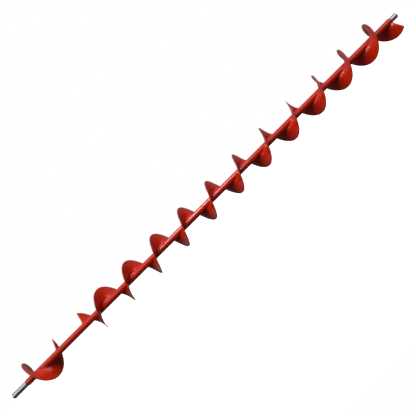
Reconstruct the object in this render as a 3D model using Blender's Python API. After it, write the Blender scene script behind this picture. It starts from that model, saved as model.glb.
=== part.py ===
"""A long conveying auger: flighting welded round a centre tube that turns on two stub shafts.

The axis lies along X. The origin is on the axis, midway between the two shaft ends. The long
stub shaft is at the -X end. Left-hand flighting covers most of the tube, and a short length of
right-hand flighting at the long stub's end pushes the material back the other way.
"""

import math

import bmesh
import bpy

# Driving dimensions, in metres
OVERALL_LENGTH = 2.196
LONG_STUB_REACH = 0.078
SHORT_STUB_REACH = 0.036
STUB_INSERTION = 0.075
STUB_RADIUS = 0.0111125
STUB_CHAMFER = 0.0015
TUBE_RADIUS = 0.013335
FLIGHT_RADIUS = 0.06985
PLATE_THICKNESS = 0.0032
TOUCHING_GAP = 0.0003

# Left-hand flighting: how far it starts from the tube's end, the angle of its first edge from
# +Y towards +Z, and its runs of (turns, pitch). Each turn is one plate.
MAIN_OFFSET = 0.315
MAIN_START_ANGLE = math.radians(59.5)
MAIN_RUNS = ((5.0, 0.1542), (3.0, 0.1552), (2.0, 0.1509), (1.52, 0.1491))

# Right-hand flighting: one plate at the long stub's end of the tube
REVERSE_OFFSET = 0.004
REVERSE_START_ANGLE = math.radians(12.3)
REVERSE_TURNS = 1.116
REVERSE_PITCH = 0.146

# Weld beads, by their legs and widths measured square to the seam
ROOT_BEAD_LEG = 0.004
ROOT_BEAD_INSET = 0.006
BUTT_BEAD_WIDTH = 0.0018
BUTT_BEAD_CROWN = 0.0006
MOUTH_BEAD_LEG = 0.0017

# Fineness of the round shapes
ROUND_SIDES = 36
TURN_SEGMENTS = 36
SMOOTH_ANGLE = math.radians(35.0)

# Worked out from the dimensions above
BORE_RADIUS = STUB_RADIUS + TOUCHING_GAP
ROOT_RADIUS = TUBE_RADIUS + TOUCHING_GAP
TUBE_START = LONG_STUB_REACH - OVERALL_LENGTH / 2
TUBE_END = OVERALL_LENGTH / 2 - SHORT_STUB_REACH
PLATE_RADII = (ROOT_RADIUS, 0.025, FLIGHT_RADIUS)
JOINT_INSET = BUTT_BEAD_WIDTH / 2 + TOUCHING_GAP
LEFT_HAND = -1
RIGHT_HAND = 1


def clear_scene():
    for obj in list(bpy.data.objects):
        bpy.data.objects.remove(obj, do_unlink=True)


def make_material(name, colour, roughness, metallic):
    material = bpy.data.materials.new(name)
    material.use_nodes = True
    shader = material.node_tree.nodes["Principled BSDF"]
    shader.inputs["Base Color"].default_value = (*colour, 1.0)
    shader.inputs["Roughness"].default_value = roughness
    shader.inputs["Metallic"].default_value = metallic
    return material


def swept_object(name, rings, material, closed):
    """Joins rings of points into a closed body: end to end where closed, or else capped."""
    body = bmesh.new()
    rows = [[body.verts.new(point) for point in ring] for ring in rings]
    sides = len(rows[0])
    pairs = list(zip(rows, rows[1:]))
    if closed:
        pairs.append((rows[-1], rows[0]))
    else:
        body.faces.new(rows[0])
        body.faces.new(rows[-1])
    for here, ahead in pairs:
        for side in range(sides):
            after = (side + 1) % sides
            body.faces.new((here[side], here[after], ahead[after], ahead[side]))
    bmesh.ops.recalc_face_normals(body, faces=body.faces)
    mesh = bpy.data.meshes.new(name)
    body.to_mesh(mesh)
    body.free()
    mesh.shade_smooth()
    mesh.set_sharp_from_angle(angle=SMOOTH_ANGLE)
    mesh.materials.append(material)
    obj = bpy.data.objects.new(name, mesh)
    bpy.context.scene.collection.objects.link(obj)
    return obj


def round_point(x, radius, angle):
    """A point at this distance from the X axis, at an angle from +Y towards +Z."""
    return (x, radius * math.cos(angle), radius * math.sin(angle))


def circle(x, radius):
    step = 2 * math.pi / ROUND_SIDES
    return [round_point(x, radius, step * side) for side in range(ROUND_SIDES)]


def turned(name, profile, material, closed):
    """Turns a profile of (x, radius) points about the X axis."""
    return swept_object(name, [circle(x, radius) for x, radius in profile], material, closed)


def seam_stretch(radius, pitch):
    """How much longer a length square to the helix becomes when it is measured along X."""
    return math.hypot(1.0, pitch / (2 * math.pi * radius))


def helical(name, outline, start, angle, hand, pitch, turns, inset, material):
    """Sweeps an outline of (offset along X, radius) points round the axis.

    Both ends stop short of their radial lines by the inset, which keeps them straight and
    parallel to those lines, as sheared plates are.
    """
    segments = max(1, math.ceil(turns * TURN_SEGMENTS))
    rings = []
    for segment in range(segments + 1):
        ring = []
        for offset, radius in outline:
            trim = inset / radius
            sweep = trim + (2 * math.pi * turns - 2 * trim) * segment / segments
            x = start + pitch * sweep / (2 * math.pi) + offset
            ring.append(round_point(x, radius, angle + hand * sweep))
        rings.append(ring)
    return swept_object(name, rings, material, closed=False)


def plate_outline(pitch, extra=0.0):
    """A flat plate's section: thicker along X towards the root, where the helix is steeper."""
    half = [
        ((PLATE_THICKNESS / 2 + extra) * seam_stretch(radius, pitch), radius)
        for radius in PLATE_RADII
    ]
    return half + [(-offset, radius) for offset, radius in reversed(half)]


def root_bead_outline(pitch):
    """A fillet weld's section, in the corner between the tube and the plate's +X face."""
    stretch = seam_stretch(ROOT_RADIUS, pitch)
    face = (PLATE_THICKNESS / 2 + TOUCHING_GAP) * stretch
    toe = face + ROOT_BEAD_LEG * stretch
    return [(face, ROOT_RADIUS), (toe, ROOT_RADIUS), (face, ROOT_RADIUS + ROOT_BEAD_LEG)]


def main_plates():
    """Each left-hand plate's start, first angle, pitch and turns."""
    plates = []
    start = TUBE_START + MAIN_OFFSET
    angle = MAIN_START_ANGLE
    for run_turns, pitch in MAIN_RUNS:
        left = run_turns
        while left > 0:
            turns = min(1.0, left)
            plates.append((start, angle, pitch, turns))
            start += pitch * turns
            angle -= 2 * math.pi * turns
            left -= turns
    return plates


def add_tube_and_stubs(paint, steel, weld):
    tube_profile = [
        (TUBE_START, BORE_RADIUS),
        (TUBE_START, TUBE_RADIUS),
        (TUBE_END, TUBE_RADIUS),
        (TUBE_END, BORE_RADIUS),
    ]
    turned("centre_tube", tube_profile, paint, closed=True)
    ends = (
        ("long_stub_shaft", "long_stub_weld", TUBE_START, -1, LONG_STUB_REACH),
        ("short_stub_shaft", "short_stub_weld", TUBE_END, 1, SHORT_STUB_REACH),
    )
    for shaft_name, weld_name, mouth, way, reach in ends:
        tip = mouth + way * reach
        tail = mouth - way * STUB_INSERTION
        shaft_profile = [
            (tail, STUB_RADIUS - STUB_CHAMFER),
            (tail + way * STUB_CHAMFER, STUB_RADIUS),
            (tip - way * STUB_CHAMFER, STUB_RADIUS),
            (tip, STUB_RADIUS - STUB_CHAMFER),
        ]
        turned(shaft_name, shaft_profile, steel, closed=False)
        foot = mouth + way * TOUCHING_GAP
        bead_profile = [
            (foot, BORE_RADIUS),
            (foot, BORE_RADIUS + MOUTH_BEAD_LEG),
            (foot + way * MOUTH_BEAD_LEG, BORE_RADIUS),
        ]
        turned(weld_name, bead_profile, weld, closed=True)


def add_main_flighting(paint, weld):
    plates = main_plates()
    for number, (start, angle, pitch, turns) in enumerate(plates, 1):
        helical(
            f"main_flight_{number:02d}", plate_outline(pitch),
            start, angle, LEFT_HAND, pitch, turns, JOINT_INSET, paint,
        )
        helical(
            f"main_root_weld_{number:02d}", root_bead_outline(pitch),
            start, angle, LEFT_HAND, pitch, turns, ROOT_BEAD_INSET, weld,
        )
    for number, (start, angle, pitch, _) in enumerate(plates[1:], 1):
        add_butt_weld(f"main_butt_weld_{number:02d}", start, angle, pitch, weld)


def add_butt_weld(name, start, angle, pitch, weld):
    """A bead of even width that fills the joint between two plates, a little proud of both."""
    half_width = BUTT_BEAD_WIDTH / 2
    rings = []
    for side in (-1, 1):
        ring = []
        for offset, radius in plate_outline(pitch, BUTT_BEAD_CROWN):
            sweep = side * half_width / radius
            x = start + pitch * sweep / (2 * math.pi) + offset
            ring.append(round_point(x, radius, angle + LEFT_HAND * sweep))
        rings.append(ring)
    swept_object(name, rings, weld, closed=False)


def add_reverse_flighting(paint, weld):
    start = TUBE_START + REVERSE_OFFSET
    for name, outline, inset, material in (
        ("reverse_flight", plate_outline(REVERSE_PITCH), 0.0, paint),
        ("reverse_root_weld", root_bead_outline(REVERSE_PITCH), ROOT_BEAD_INSET, weld),
    ):
        helical(
            name, outline, start, REVERSE_START_ANGLE, RIGHT_HAND,
            REVERSE_PITCH, REVERSE_TURNS, inset, material,
        )


def main():
    clear_scene()
    paint = make_material("red_paint", (0.45, 0.015, 0.01), 0.3, 0.0)
    weld = make_material("painted_weld", (0.36, 0.012, 0.01), 0.4, 0.0)
    steel = make_material("bright_steel", (0.62, 0.62, 0.63), 0.25, 1.0)
    add_tube_and_stubs(paint, steel, weld)
    add_main_flighting(paint, weld)
    add_reverse_flighting(paint, weld)


main()
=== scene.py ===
import math

import bmesh
import bpy
from mathutils import Matrix, Vector


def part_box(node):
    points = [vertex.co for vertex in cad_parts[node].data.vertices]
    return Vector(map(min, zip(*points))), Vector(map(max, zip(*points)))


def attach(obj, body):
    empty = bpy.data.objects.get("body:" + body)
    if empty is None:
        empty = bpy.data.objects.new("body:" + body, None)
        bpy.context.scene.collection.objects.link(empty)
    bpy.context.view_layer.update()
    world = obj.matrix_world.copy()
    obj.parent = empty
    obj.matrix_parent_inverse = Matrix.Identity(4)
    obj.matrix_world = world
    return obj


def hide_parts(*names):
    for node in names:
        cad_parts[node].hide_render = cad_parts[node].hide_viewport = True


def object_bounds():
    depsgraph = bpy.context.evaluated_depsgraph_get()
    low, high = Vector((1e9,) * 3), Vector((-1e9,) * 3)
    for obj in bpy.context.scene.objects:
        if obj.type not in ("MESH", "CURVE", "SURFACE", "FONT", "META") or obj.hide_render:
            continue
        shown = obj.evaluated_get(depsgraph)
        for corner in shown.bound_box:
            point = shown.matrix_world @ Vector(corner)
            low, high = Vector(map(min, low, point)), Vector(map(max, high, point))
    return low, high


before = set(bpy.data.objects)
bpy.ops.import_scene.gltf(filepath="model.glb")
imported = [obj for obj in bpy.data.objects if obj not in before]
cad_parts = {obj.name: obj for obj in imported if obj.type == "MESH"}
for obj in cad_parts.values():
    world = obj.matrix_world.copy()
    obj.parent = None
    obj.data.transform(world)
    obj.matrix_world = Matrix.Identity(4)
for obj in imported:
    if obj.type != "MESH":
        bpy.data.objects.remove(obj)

CAD_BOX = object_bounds()

# The frame: X is the auger's axis, and the origin is midway between the shaft ends
TUBE_LOW, TUBE_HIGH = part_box("centre_tube")
TUBE_START = TUBE_LOW.x
TUBE_END = TUBE_HIGH.x
TUBE_RADIUS = TUBE_HIGH.z
STUB_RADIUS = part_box("long_stub_shaft")[1].z
FLIGHT_RADIUS = CAD_BOX[1].z
LOWEST = CAD_BOX[0].z

# The flighting, as part.py lays it out. A run is its turns and its pitch.
MAIN_OFFSET = 0.315
MAIN_START_ANGLE = math.radians(59.5)
MAIN_RUNS = ((5.0, 0.1542), (3.0, 0.1552), (2.0, 0.1509), (1.52, 0.1491))
REVERSE_OFFSET = 0.004
REVERSE_START_ANGLE = math.radians(12.3)
REVERSE_TURNS = 1.116
REVERSE_PITCH = 0.146
REVERSE_SEED = 20
PLATE_THICKNESS = 0.0032
LEFT_HAND = -1
RIGHT_HAND = 1

# Plates
PLATE_ROOT_DEPTH = 0.0003
PLATE_JOINT_INSET = 0.0008
PLATE_END_BEVEL = 0.0005
PLATE_WAVE = 0.00045
RIM_ROUNDING = 0.0007
ROOT_CROWDING = 1.5

# Tube and stub shafts
BORE_GAP = 0.0002
TUBE_ROUNDING = 0.0006
STUB_CHAMFER = 0.0015
CHAMFER_RUN_OUT = 0.0003
CHAMFER_EASE = 0.0001

# Weld beads. A leg is a fillet's height up each side of its corner.
RIPPLE_LENGTH = 0.0032
ROOT_BEAD_LEG = 0.0042
ROOT_BEAD_INSET = 0.005
ROOT_BEAD_SINK = 0.0004
ROOT_BEAD_END_SIZE = 0.55
ROOT_BEAD_CROWN = 0.12
ROOT_BEAD_RIPPLE = 0.08
BUTT_CAP_WIDTH = 0.0042
BUTT_CAP_CROWN = 0.0005
BUTT_CAP_VALLEY = 0.45
BUTT_CAP_END_TAPER = 6.0
BUTT_CAP_SINK = 0.0002
MOUTH_BEAD_LEG = 0.0021
MOUTH_BEAD_BULGE = 0.55
MOUTH_BEAD_RIPPLE = 0.0004
MOUTH_BEAD_SINK = 0.0003
DIAGONAL = 0.7

# Fineness. Plate segments are for one turn, and ripple segments are for one ripple.
PLATE_SEGMENTS = 108
PLATE_STEPS = 12
RIM_ARCS = 4
BEAD_ARCS = 6
RIPPLE_SEGMENTS = 5
ROUND_SIDES = 96
TUBE_RINGS = 40
BEAD_SMOOTH_DEGREES = 60.0

# Paint and steel. A scale is noise cells to the metre, and a height is in metres.
RED = (0.56, 0.017, 0.0020, 1.0)
DEEP_RED = (0.43, 0.011, 0.0014, 1.0)
# The rims' darker red: partly thin paint, partly painted shade for the dark room that the rims
# reflect
THIN_AND_SHADED_RED = (0.22, 0.018, 0.010, 1.0)
STEEL = (0.74, 0.73, 0.73, 1.0)
DARK_STEEL = (0.42, 0.41, 0.41, 1.0)
FILM_SCALE = 9.0
FLECK_SCALE = 900.0
GLOSS_SCALE = 60.0
PAINT_ROUGHNESS = (0.18, 0.27)
WELD_EXTRA_ROUGHNESS = 0.22
PAINT_COAT = 0.25
WELD_COAT = 0.05
COAT_ROUGHNESS = 0.12
# Where the rims darken: partly thin paint and chips, partly painted shade for the dark room that the
# rims reflect
RIM_WEAR_AND_SHADE_START = 0.0016
RIM_WEAR_AND_SHADE_FULL = 0.0002
RIM_WEAR_AND_SHADE_SCALE = 160.0
RIM_WEAR_ROUGHNESS = 0.18
CHIP_SCALE = 420.0
PEEL_SCALE = 330.0
PEEL_HEIGHT = 0.00006
SAG_SCALE = 45.0
SAG_HEIGHT = 0.0004
WELD_GRAIN_SCALE = 700.0
WELD_GRAIN_HEIGHT = 0.00008
TURNING_SCALES = (2600.0, 30.0, 30.0)
TURNING_HEIGHT = 0.00002
BAND_SCALES = (240.0, 12.0, 12.0)
STEEL_ROUGHNESS = (0.26, 0.40)
STAIN_SCALE = 55.0
PAINT_LINE_SCALE = 130.0
PAINT_LINE_REACH = 0.0015
PAINT_LINE_RAGGED = 0.005
PAINT_LINE_HEIGHT = 0.0001
HAZE_REACH = (0.004, 0.016)
HAZE_COVER = 0.35
HAZE_SCALE = 500.0

# Floor
FLOOR_HALF_WIDTH = 30.0
FLOOR_CELLS = 8
FLOOR_GAP = 0.0005
FLOOR_GLOW = 0.86
FLOOR_COLOUR = (0.9, 0.9, 0.9, 1.0)
WHITE = (1.0, 1.0, 1.0, 1.0)

# Studio light. The strip's angles are in degrees from straight up towards -Y. Where the room's light
# changes is given as the range of a direction's Y or Z.
STRIP_FROM = 4.0
STRIP_TO = 76.0
STRIP_SOFT = 22.0
STRIP_LIGHT = 0.45
STRIP_ENDS = 1.5
STRIP_SLOPE = 0.15
GROUND_LIGHT = 0.06
FRONT_LIGHT = 0.11
BACK_LIGHT = 0.20
CEILING_LIGHT = 0.24
FRONT_TO_BACK = (0.1, 0.8)
GROUND_TO_WALLS = (-0.35, 0.05)
WALLS_TO_CEILING = (0.3, 0.9)
KEY_PLACE = (0.0, -1.42, 1.76)
KEY_SIZE = (1.1, 0.8)
KEY_POWER = 31.5
TOP_PLACE = (-0.1, -0.15, 1.7)
TOP_SIZE = (0.5, 0.4)
TOP_POWER = 7.0

# Camera
CAMERA_PLACE = (-0.0509, -1.5179, -0.0039)
CAMERA_ROLL = math.radians(44.95)
CAMERA_YAW = math.radians(-1.32)
CAMERA_SENSOR = 36.0
CAMERA_LENS = 32.28
CAMERA_SHIFT = (0.0048, -0.0044)


# ---------------------------------------------------------------- geometry

def round_point(x, radius, angle):
    return Vector((x, radius * math.cos(angle), radius * math.sin(angle)))


def link_mesh(name, body, smooth_degrees=40.0):
    bmesh.ops.recalc_face_normals(body, faces=body.faces)
    mesh = bpy.data.meshes.new(name)
    body.to_mesh(mesh)
    body.free()
    mesh.shade_smooth()
    mesh.set_sharp_from_angle(angle=math.radians(smooth_degrees))
    obj = bpy.data.objects.new(name, mesh)
    bpy.context.scene.collection.objects.link(obj)
    return obj


def bridge(body, rows, closed_way=False):
    """Joins rows of points with quads, round each row and from row to row."""
    pairs = list(zip(rows, rows[1:]))
    if closed_way:
        pairs.append((rows[-1], rows[0]))
    for here, ahead in pairs:
        for side in range(len(here)):
            after = (side + 1) % len(here)
            body.faces.new((here[side], here[after], ahead[after], ahead[side]))


def close_ends(body, rows):
    body.faces.new(rows[0])
    body.faces.new(rows[-1])


def ladder_cap(body, row):
    """Closes a flat strip's end with quads across its thickness."""
    last = len(row) - 1
    for rung in range(len(row) // 2 - 1):
        body.faces.new((row[rung], row[rung + 1], row[last - rung - 1], row[last - rung]))


def turned(name, profile, closed, swell=None):
    """Turns (x, radius) points about the X axis. swell adds to a point's radius by its angle."""
    body = bmesh.new()
    rows = []
    for x, radius in profile:
        row = []
        for side in range(ROUND_SIDES):
            angle = 2 * math.pi * side / ROUND_SIDES
            grown = radius + (swell(radius, angle) if swell else 0.0)
            row.append(body.verts.new(round_point(x, grown, angle)))
        rows.append(row)
    bridge(body, rows, closed_way=closed)
    if not closed:
        close_ends(body, rows)
    return link_mesh(name, body)


def seam_stretch(radius, pitch):
    """How much longer a helical plate's thickness is along X than square to the plate."""
    return math.hypot(1.0, pitch / (2 * math.pi * radius))


def plate_half_outline(pitch, shrink):
    """Half of a plate's section from root to rim, with a rounded edge at the rim."""
    root = TUBE_RADIUS - PLATE_ROOT_DEPTH
    rounding_start = FLIGHT_RADIUS - RIM_ROUNDING
    half = PLATE_THICKNESS / 2 - shrink
    points = []
    for step in range(PLATE_STEPS + 1):
        share = (step / PLATE_STEPS) ** ROOT_CROWDING
        radius = root + (rounding_start - root) * share
        points.append((half * seam_stretch(radius, pitch), radius))
    flat = points[-1][0]
    inner = max(flat - RIM_ROUNDING, 0.0)
    for arc in range(1, RIM_ARCS + 1):
        turn = math.pi / 2 * arc / RIM_ARCS
        offset = inner + (flat - inner) * math.cos(turn)
        points.append((offset, rounding_start + (RIM_ROUNDING - shrink) * math.sin(turn)))
    return points


def plate_wave(sweep, radius, seed):
    """The slight unevenness of a pressed plate, growing towards its rim."""
    reach = (radius - TUBE_RADIUS) / (FLIGHT_RADIUS - TUBE_RADIUS)
    wave = math.sin(2 * sweep + 1.7 * seed) + 0.6 * math.sin(5 * sweep + 2.9 * seed)
    return PLATE_WAVE * reach * wave


def plate(name, start, angle, hand, pitch, turns, insets, seed):
    """A helical plate with rounded edges. insets are how far each end stops short, in metres."""
    body = bmesh.new()
    segments = math.ceil(turns * PLATE_SEGMENTS)
    full_sweep = 2 * math.pi * turns
    # Each station is its share of the way, a shift from there in metres, and a shrink
    stations = [(0.0, 0.0, PLATE_END_BEVEL), (0.0, PLATE_END_BEVEL, 0.0)]
    stations += [(segment / segments, 0.0, 0.0) for segment in range(1, segments)]
    stations += [(1.0, -PLATE_END_BEVEL, 0.0), (1.0, 0.0, PLATE_END_BEVEL)]
    rows = []
    for share, shift, shrink in stations:
        half = plate_half_outline(pitch, shrink)
        outline = half + [(-offset, radius) for offset, radius in reversed(half)]
        row = []
        for offset, radius in outline:
            first = insets[0] / radius
            last = full_sweep - insets[1] / radius
            sweep = first + (last - first) * share + shift / radius
            x = start + pitch * sweep / (2 * math.pi) + offset
            fade = math.sin(math.pi * min(1.0, max(0.0, sweep / full_sweep)))
            x += plate_wave(sweep, radius, seed) * fade
            row.append(body.verts.new(round_point(x, radius, angle + hand * sweep)))
        rows.append(row)
    bridge(body, rows)
    ladder_cap(body, rows[0])
    ladder_cap(body, rows[-1])
    return link_mesh(name, body)


def ripple(distance, seed):
    """A weld bead's scalloped height along its length, from 0 to 1."""
    phase = distance / RIPPLE_LENGTH + 0.15 * math.sin(distance * 310.0 + seed)
    saw = phase - math.floor(phase)
    return math.sin(math.pi * saw ** 0.7)


def root_bead_leg(distance, seed):
    """A root bead's leg, which wanders a little along its length as the welder's hand does."""
    wander = 0.06 * math.sin(distance * 95.0 + seed) + 0.05 * math.sin(distance * 41.0)
    return ROOT_BEAD_LEG * (0.95 + wander)


def root_bead_outline(leg, crown, stretch):
    """A convex fillet's section in the corner between tube and plate, as (offset, radius)."""
    foot = TUBE_RADIUS - PLATE_ROOT_DEPTH
    corner = (PLATE_THICKNESS / 2 - ROOT_BEAD_SINK) * stretch
    outline = [(corner, foot)]
    for arc in range(BEAD_ARCS + 1):
        up = arc / BEAD_ARCS
        along = 1.0 - up
        bulge = 4 * crown * up * along * DIAGONAL
        outline.append((corner + leg * stretch * (along + bulge), foot + leg * (up + bulge)))
    return outline


def root_bead(name, start, angle, hand, pitch, turns, seed):
    """The fillet bead along a plate's root, with weld ripples and tapered ends."""
    body = bmesh.new()
    length = 2 * math.pi * turns * math.hypot(TUBE_RADIUS, pitch / (2 * math.pi))
    welded = length - 2 * ROOT_BEAD_INSET
    segments = math.ceil(welded / RIPPLE_LENGTH * RIPPLE_SEGMENTS)
    stretch = seam_stretch(TUBE_RADIUS, pitch)
    rows = []
    for segment in range(segments + 1):
        share = segment / segments
        distance = ROOT_BEAD_INSET + welded * share
        sweep = 2 * math.pi * turns * distance / length
        taper = min(1.0, min(share, 1.0 - share) * segments / RIPPLE_SEGMENTS)
        size = ROOT_BEAD_END_SIZE + (1.0 - ROOT_BEAD_END_SIZE) * math.sqrt(taper)
        leg = root_bead_leg(distance, seed) * size
        crown = ROOT_BEAD_CROWN + ROOT_BEAD_RIPPLE * ripple(distance, seed)
        row = []
        for offset, radius in root_bead_outline(leg, crown, stretch):
            x = start + pitch * sweep / (2 * math.pi) + offset
            row.append(body.verts.new(round_point(x, radius, angle + hand * sweep)))
        rows.append(row)
    bridge(body, rows)
    close_ends(body, rows)
    return link_mesh(name, body, BEAD_SMOOTH_DEGREES)


def butt_cap_width(radius, seed):
    return BUTT_CAP_WIDTH * (0.92 + 0.08 * math.sin(radius * 700.0 + seed))


def butt_bead(name, start, angle, pitch, seed):
    """The radial weld between two left-hand plates: a ripple-topped cap on both faces."""
    body = bmesh.new()
    reach = FLIGHT_RADIUS - BUTT_CAP_SINK - TUBE_RADIUS
    segments = math.ceil(reach / RIPPLE_LENGTH * RIPPLE_SEGMENTS)
    valley = BUTT_CAP_VALLEY
    rows = []
    for segment in range(segments + 1):
        share = segment / segments
        radius = TUBE_RADIUS + reach * share
        taper = min(1.0, BUTT_CAP_END_TAPER * min(share, 1.0 - share))
        crown = BUTT_CAP_CROWN * (valley + (1.0 - valley) * ripple(radius, seed)) * math.sqrt(taper)
        width = butt_cap_width(radius, seed)
        stretch = seam_stretch(radius, pitch)
        row = []
        for face in (1, -1):
            for arc in range(BEAD_ARCS + 1):
                across = (2 * arc / BEAD_ARCS - 1) * face
                rise = crown * (1 - across * across)
                offset = face * (PLATE_THICKNESS / 2 - BUTT_CAP_SINK + rise) * stretch
                sweep = across * width / 2 / radius
                x = start + pitch * sweep / (2 * math.pi) + offset
                row.append(body.verts.new(round_point(x, radius, angle + LEFT_HAND * sweep)))
        rows.append(row)
    bridge(body, rows)
    close_ends(body, rows)
    return link_mesh(name, body, BEAD_SMOOTH_DEGREES)


def main_plates():
    """Each left-hand plate's start, first angle, pitch and turns."""
    plates = []
    start = TUBE_START + MAIN_OFFSET
    angle = MAIN_START_ANGLE
    for run_turns, pitch in MAIN_RUNS:
        left = run_turns
        while left > 0:
            turns = min(1.0, left)
            plates.append((start, angle, pitch, turns))
            start += pitch * turns
            angle += LEFT_HAND * 2 * math.pi * turns
            left -= turns
    return plates


# ---------------------------------------------------------------- materials

class Graph:
    """A node tree, with short calls for adding and linking its nodes."""

    def __init__(self, tree):
        self.tree = tree

    def add(self, kind, **settings):
        node = self.tree.nodes.new(kind)
        for key, value in settings.items():
            setattr(node, key, value)
        return node

    def link(self, source, target):
        self.tree.links.new(source, target)

    def feed(self, node, socket, value):
        target = node.inputs[socket]
        if isinstance(value, bpy.types.NodeSocket):
            self.link(value, target)
        else:
            target.default_value = value

    def math(self, operation, first, second=0.0, third=0.0):
        node = self.add("ShaderNodeMath", operation=operation)
        for socket, value in enumerate((first, second, third)):
            self.feed(node, socket, value)
        return node.outputs[0]

    def ramp(self, value, low, high, to_low=0.0, to_high=1.0, curve="LINEAR"):
        node = self.add("ShaderNodeMapRange", interpolation_type=curve)
        self.feed(node, "Value", value)
        self.feed(node, "From Min", low)
        self.feed(node, "From Max", high)
        self.feed(node, "To Min", to_low)
        self.feed(node, "To Max", to_high)
        return node.outputs["Result"]

    def noise(self, vector, scale, detail=3.0, roughness=0.5):
        node = self.add("ShaderNodeTexNoise")
        self.feed(node, "Vector", vector)
        self.feed(node, "Scale", scale)
        self.feed(node, "Detail", detail)
        self.feed(node, "Roughness", roughness)
        return node.outputs["Fac"]

    def stretched(self, vector, scales):
        node = self.add("ShaderNodeMapping")
        self.feed(node, "Vector", vector)
        self.feed(node, "Scale", scales)
        return node.outputs["Vector"]

    def mix(self, share, first, second):
        """Mixes two colours. The colour sockets of this node are its seventh and eighth."""
        node = self.add("ShaderNodeMix", data_type="RGBA")
        self.feed(node, 0, share)
        self.feed(node, 6, first)
        self.feed(node, 7, second)
        return node.outputs[2]

    def bump(self, height, distance, strength, under=None):
        node = self.add("ShaderNodeBump")
        self.feed(node, "Height", height)
        self.feed(node, "Distance", distance)
        self.feed(node, "Strength", strength)
        if under is not None:
            self.link(under, node.inputs["Normal"])
        return node.outputs["Normal"]

    def place(self):
        return self.add("ShaderNodeTexCoord").outputs["Object"]

    def axis_distance(self, place):
        """A place's distance from the auger's axis, and its X."""
        parts = self.add("ShaderNodeSeparateXYZ")
        self.link(place, parts.inputs[0])
        square = self.math("MULTIPLY", parts.outputs["Y"], parts.outputs["Y"])
        total = self.math("MULTIPLY_ADD", parts.outputs["Z"], parts.outputs["Z"], square)
        return self.math("SQRT", total), parts.outputs["X"]


def new_material(name):
    material = bpy.data.materials.new(name)
    material.use_nodes = True
    graph = Graph(material.node_tree)
    return material, graph, material.node_tree.nodes["Principled BSDF"]


def rims_worn_and_shaded(graph, place, colour, roughness):
    """Darker, duller paint and a few small chips at the plates' rims, over a colour and a roughness.
    The darkening is partly thin paint and partly painted shade for the dark room that the rims
    reflect.
    """
    radius, _ = graph.axis_distance(place)
    near = graph.ramp(radius, FLIGHT_RADIUS - RIM_WEAR_AND_SHADE_START, FLIGHT_RADIUS - RIM_WEAR_AND_SHADE_FULL)
    broken = graph.ramp(graph.noise(place, RIM_WEAR_AND_SHADE_SCALE, 4.0), 0.35, 0.65)
    worn_and_shaded = graph.math("MULTIPLY", near, broken)
    # Darken the rims: partly thin paint, partly painted shade for the dark room that the rims reflect
    colour = graph.mix(graph.math("MULTIPLY", worn_and_shaded, 0.7), colour, THIN_AND_SHADED_RED)
    roughness = graph.math("MULTIPLY_ADD", worn_and_shaded, RIM_WEAR_ROUGHNESS, roughness)
    chip = graph.ramp(graph.noise(place, CHIP_SCALE, 2.0), 0.70, 0.73)
    return graph.mix(graph.math("MULTIPLY", chip, near), colour, DARK_STEEL), roughness


def make_paint(name, on_weld):
    """Glossy red enamel with orange peel and an uneven film, darker at the rims from thin paint and
    painted shade, rougher on welds.
    """
    material, graph, shader = new_material(name)
    place = graph.place()
    film = graph.ramp(graph.noise(place, FILM_SCALE, 4.0), 0.35, 0.75, 0.0, 0.45)
    colour = graph.mix(film, RED, DEEP_RED)
    fleck = graph.ramp(graph.noise(place, FLECK_SCALE, 2.0), 0.62, 0.75, 0.0, 0.15)
    colour = graph.mix(fleck, colour, DEEP_RED)
    roughness = graph.ramp(graph.noise(place, GLOSS_SCALE), 0.3, 0.7, *PAINT_ROUGHNESS)
    normal = graph.bump(graph.noise(place, PEEL_SCALE, 2.0, 0.4), PEEL_HEIGHT, 0.5)
    normal = graph.bump(graph.noise(place, SAG_SCALE, 2.0), SAG_HEIGHT, 0.3, normal)
    if on_weld:
        grain = graph.noise(place, WELD_GRAIN_SCALE)
        normal = graph.bump(grain, WELD_GRAIN_HEIGHT, 0.4, normal)
        roughness = graph.math("ADD", roughness, WELD_EXTRA_ROUGHNESS)
    else:
        colour, roughness = rims_worn_and_shaded(graph, place, colour, roughness)
    graph.link(colour, shader.inputs["Base Color"])
    graph.link(roughness, shader.inputs["Roughness"])
    graph.link(normal, shader.inputs["Normal"])
    shader.inputs["Coat Weight"].default_value = WELD_COAT if on_weld else PAINT_COAT
    shader.inputs["Coat Roughness"].default_value = COAT_ROUGHNESS
    return material


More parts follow.
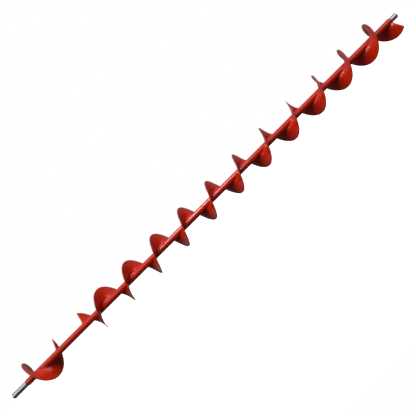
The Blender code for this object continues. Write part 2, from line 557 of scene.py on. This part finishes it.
def make_steel():
    """Bright turned bar: fine rings round the axis, faint stains, and overspray by the welds."""
    material, graph, shader = new_material("bright_bar_steel")
    place = graph.place()
    _, x = graph.axis_distance(place)
    stain = graph.ramp(graph.noise(place, STAIN_SCALE, 4.0), 0.5, 0.8, 0.0, 0.35)
    colour = graph.mix(stain, STEEL, DARK_STEEL)
    bands = graph.noise(graph.stretched(place, BAND_SCALES), 1.0)
    roughness = graph.ramp(bands, 0.3, 0.7, *STEEL_ROUGHNESS)
    before_tube = graph.math("SUBTRACT", TUBE_START, x)
    after_tube = graph.math("SUBTRACT", x, TUBE_END)
    out = graph.math("MAXIMUM", before_tube, after_tube)
    edge = graph.noise(place, PAINT_LINE_SCALE)
    line = graph.math("MULTIPLY_ADD", edge, PAINT_LINE_RAGGED, PAINT_LINE_REACH)
    painted = graph.ramp(graph.math("SUBTRACT", line, out), -0.0002, 0.0003)
    haze = graph.ramp(out, *HAZE_REACH, HAZE_COVER, 0.0)
    specks = graph.ramp(graph.noise(place, HAZE_SCALE), 0.4, 0.6)
    cover = graph.math("MAXIMUM", painted, graph.math("MULTIPLY", haze, specks))
    rings = graph.noise(graph.stretched(place, TURNING_SCALES), 1.0, 2.0)
    normal = graph.bump(rings, TURNING_HEIGHT, 0.6)
    normal = graph.bump(painted, PAINT_LINE_HEIGHT, 0.6, normal)
    graph.link(graph.mix(cover, colour, RED), shader.inputs["Base Color"])
    graph.link(graph.math("SUBTRACT", 1.0, cover), shader.inputs["Metallic"])
    graph.link(roughness, shader.inputs["Roughness"])
    graph.link(normal, shader.inputs["Normal"])
    return material


# ---------------------------------------------------------------- pieces

def finish_piece(obj, node, material):
    obj.data.materials.append(material)
    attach(obj, "root")
    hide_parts(node)


def add_tube(paint):
    bore = STUB_RADIUS + BORE_GAP
    edge = TUBE_ROUNDING
    corner = 0.3 * edge
    profile = [(TUBE_START + edge, TUBE_RADIUS)]
    for ring in range(1, TUBE_RINGS):
        share = ring / TUBE_RINGS
        profile.append((TUBE_START + (TUBE_END - TUBE_START) * share, TUBE_RADIUS))
    profile += [
        (TUBE_END - edge, TUBE_RADIUS),
        (TUBE_END - corner, TUBE_RADIUS - corner),
        (TUBE_END, TUBE_RADIUS - edge),
        (TUBE_END, bore),
        (TUBE_START, bore),
        (TUBE_START, TUBE_RADIUS - edge),
        (TUBE_START + corner, TUBE_RADIUS - corner),
    ]
    finish_piece(turned("tube", profile, True), "centre_tube", paint)


def stub_end(tip, way):
    """A chamfered shaft end with eased corners, from the tip inwards, as (x, radius)."""
    return [
        (tip, STUB_RADIUS - STUB_CHAMFER - CHAMFER_RUN_OUT),
        (tip + way * CHAMFER_EASE, STUB_RADIUS - STUB_CHAMFER),
        (tip + way * STUB_CHAMFER, STUB_RADIUS - CHAMFER_EASE),
        (tip + way * (STUB_CHAMFER + CHAMFER_RUN_OUT), STUB_RADIUS),
    ]


def add_stub(name, node, steel):
    low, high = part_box(node)
    profile = stub_end(low.x, 1) + stub_end(high.x, -1)[::-1]
    finish_piece(turned(name, profile, False), node, steel)


def add_mouth_bead(name, node, mouth, way, weld):
    """The rippled ring of weld where a stub leaves the tube. way is along X, away from the tube."""
    foot = STUB_RADIUS - MOUTH_BEAD_SINK
    back = mouth - way * MOUTH_BEAD_SINK
    profile = [(back, foot)]
    for arc in range(BEAD_ARCS + 1):
        up = arc / BEAD_ARCS
        bulge = MOUTH_BEAD_BULGE * up * (1 - up)
        x = back + way * MOUTH_BEAD_LEG * (1 - up + bulge)
        profile.append((x, foot + MOUTH_BEAD_LEG * (up + bulge)))

    def swell(radius, angle):
        height = (radius - foot) / MOUTH_BEAD_LEG
        return MOUTH_BEAD_RIPPLE * height * ripple(angle * TUBE_RADIUS, 0.0)

    finish_piece(turned(name, profile, True, swell), node, weld)


def add_main_flighting(paint, weld):
    plates = main_plates()
    for number, (start, angle, pitch, turns) in enumerate(plates, 1):
        first_inset = 0.0 if number == 1 else PLATE_JOINT_INSET
        last_inset = 0.0 if number == len(plates) else PLATE_JOINT_INSET
        place = (start, angle, LEFT_HAND, pitch, turns)
        made = plate(f"flight_{number:02d}", *place, (first_inset, last_inset), number)
        finish_piece(made, f"main_flight_{number:02d}", paint)
        bead = root_bead(f"root_bead_{number:02d}", *place, number)
        finish_piece(bead, f"main_root_weld_{number:02d}", weld)
    for number, (start, angle, pitch, _) in enumerate(plates[1:], 1):
        bead = butt_bead(f"butt_bead_{number:02d}", start, angle, pitch, number)
        finish_piece(bead, f"main_butt_weld_{number:02d}", weld)


def add_reverse_flighting(paint, weld):
    start = TUBE_START + REVERSE_OFFSET
    place = (start, REVERSE_START_ANGLE, RIGHT_HAND, REVERSE_PITCH, REVERSE_TURNS)
    made = plate("reverse_plate", *place, (0.0, 0.0), REVERSE_SEED)
    finish_piece(made, "reverse_flight", paint)
    bead = root_bead("reverse_bead", *place, REVERSE_SEED)
    finish_piece(bead, "reverse_root_weld", weld)


# ---------------------------------------------------------------- stage, lights, camera

def add_floor():
    """A plain white floor that only the camera sees, so that it casts no light on the paint."""
    body = bmesh.new()
    size = FLOOR_HALF_WIDTH
    bmesh.ops.create_grid(body, x_segments=FLOOR_CELLS, y_segments=FLOOR_CELLS, size=size)
    mesh = bpy.data.meshes.new("floor")
    body.to_mesh(mesh)
    body.free()
    floor = bpy.data.objects.new("floor", mesh)
    bpy.context.scene.collection.objects.link(floor)
    floor.location = (0.0, 0.0, LOWEST - FLOOR_GAP)
    floor.visible_diffuse = False
    floor.visible_glossy = False
    material = bpy.data.materials.new("floor_white")
    material.use_nodes = True
    material.node_tree.nodes.clear()
    graph = Graph(material.node_tree)
    glow = graph.add("ShaderNodeEmission")
    graph.feed(glow, "Color", WHITE)
    graph.feed(glow, "Strength", FLOOR_GLOW)
    matt = graph.add("ShaderNodeBsdfDiffuse")
    graph.feed(matt, "Color", FLOOR_COLOUR)
    both = graph.add("ShaderNodeAddShader")
    graph.link(glow.outputs[0], both.inputs[0])
    graph.link(matt.outputs[0], both.inputs[1])
    output = graph.add("ShaderNodeOutputMaterial")
    graph.link(both.outputs[0], output.inputs["Surface"])
    mesh.materials.append(material)


def strip_light(graph, x, y, z):
    """The strip's brightness in a direction: a soft band along the auger, brighter at its ends."""
    tilt = graph.math("ARCTAN2", graph.math("MULTIPLY", y, -1.0), z)
    low = math.radians(STRIP_FROM)
    high = math.radians(STRIP_TO)
    soft = math.radians(STRIP_SOFT)
    rise = graph.ramp(tilt, low, low + soft, 0.0, 1.0, "SMOOTHSTEP")
    fall = graph.ramp(tilt, high - soft, high, 1.0, 0.0, "SMOOTHSTEP")
    band = graph.math("MULTIPLY", rise, fall)
    ends = graph.math("MULTIPLY_ADD", graph.math("ABSOLUTE", x), STRIP_ENDS, STRIP_LIGHT)
    slope = graph.math("MULTIPLY_ADD", x, STRIP_SLOPE, ends)
    return graph.math("MULTIPLY", band, slope)


def room_light(graph, y, z):
    """The dim room's brightness in a direction: ground, walls and ceiling, each into the next."""
    walls = graph.ramp(y, *FRONT_TO_BACK, FRONT_LIGHT, BACK_LIGHT, "SMOOTHSTEP")
    sides = graph.ramp(z, *GROUND_TO_WALLS, GROUND_LIGHT, walls, "SMOOTHSTEP")
    ceiling = graph.ramp(z, *WALLS_TO_CEILING, 0.0, CEILING_LIGHT, "SMOOTHSTEP")
    return graph.math("ADD", sides, ceiling)


def add_world():
    """A white backdrop to the camera. To the auger, a dim room with a long strip of light.

    The strip is above the auger and towards the camera's side. It is placed by its angle from
    straight up, and it is brighter at both ends, a little more so at +X.
    """
    world = bpy.data.worlds.new("studio")
    bpy.context.scene.world = world
    world.use_nodes = True
    world.node_tree.nodes.clear()
    graph = Graph(world.node_tree)
    parts = graph.add("ShaderNodeSeparateXYZ")
    graph.link(graph.add("ShaderNodeTexCoord").outputs["Generated"], parts.inputs[0])
    x, y, z = parts.outputs
    light = graph.math("ADD", room_light(graph, y, z), strip_light(graph, x, y, z))
    room = graph.add("ShaderNodeBackground")
    graph.feed(room, "Strength", light)
    backdrop = graph.add("ShaderNodeBackground")
    graph.feed(backdrop, "Color", WHITE)
    graph.feed(backdrop, "Strength", 1.0)
    choose = graph.add("ShaderNodeMixShader")
    graph.link(graph.add("ShaderNodeLightPath").outputs["Is Camera Ray"], choose.inputs["Fac"])
    graph.link(room.outputs[0], choose.inputs[1])
    graph.link(backdrop.outputs[0], choose.inputs[2])
    output = graph.add("ShaderNodeOutputWorld")
    graph.link(choose.outputs[0], output.inputs["Surface"])


def add_softbox(name, place, size, power):
    """A rectangular light that faces the auger's middle."""
    light = bpy.data.lights.new(name, "AREA")
    light.shape = "RECTANGLE"
    light.size, light.size_y = size
    light.energy = power
    softbox = bpy.data.objects.new(name, light)
    bpy.context.scene.collection.objects.link(softbox)
    softbox.location = place
    softbox.rotation_mode = "QUATERNION"
    softbox.rotation_quaternion = (-Vector(place)).to_track_quat("-Z", "Y")


def add_camera():
    """Level with the auger and square to it but for a small yaw, rolled to lay it on the diagonal."""
    ahead = Vector((-math.sin(CAMERA_YAW), math.cos(CAMERA_YAW), 0.0))
    side = Vector((math.cos(CAMERA_YAW), math.sin(CAMERA_YAW), 0.0))
    up = Vector((0.0, 0.0, 1.0))
    right = side * math.cos(CAMERA_ROLL) - up * math.sin(CAMERA_ROLL)
    over = side * math.sin(CAMERA_ROLL) + up * math.cos(CAMERA_ROLL)
    data = bpy.data.cameras.new("camera")
    data.sensor_width = CAMERA_SENSOR
    data.lens = CAMERA_LENS
    data.shift_x, data.shift_y = CAMERA_SHIFT
    camera = bpy.data.objects.new("camera", data)
    bpy.context.scene.collection.objects.link(camera)
    place = Matrix((right, over, -ahead)).transposed().to_4x4()
    place.translation = Vector(CAMERA_PLACE)
    camera.matrix_world = place
    bpy.context.scene.camera = camera


def main():
    paint = make_paint("red_enamel", on_weld=False)
    weld = make_paint("red_enamel_on_weld", on_weld=True)
    steel = make_steel()
    add_tube(paint)
    add_stub("long_stub", "long_stub_shaft", steel)
    add_stub("short_stub", "short_stub_shaft", steel)
    add_mouth_bead("long_stub_bead", "long_stub_weld", TUBE_START, -1, weld)
    add_mouth_bead("short_stub_bead", "short_stub_weld", TUBE_END, 1, weld)
    add_main_flighting(paint, weld)
    add_reverse_flighting(paint, weld)
    add_floor()
    add_world()
    add_softbox("key_softbox", KEY_PLACE, KEY_SIZE, KEY_POWER)
    add_softbox("top_softbox", TOP_PLACE, TOP_SIZE, TOP_POWER)
    add_camera()
    bpy.context.scene.view_settings.view_transform = "Standard"
    bpy.context.view_layer.update()


main()
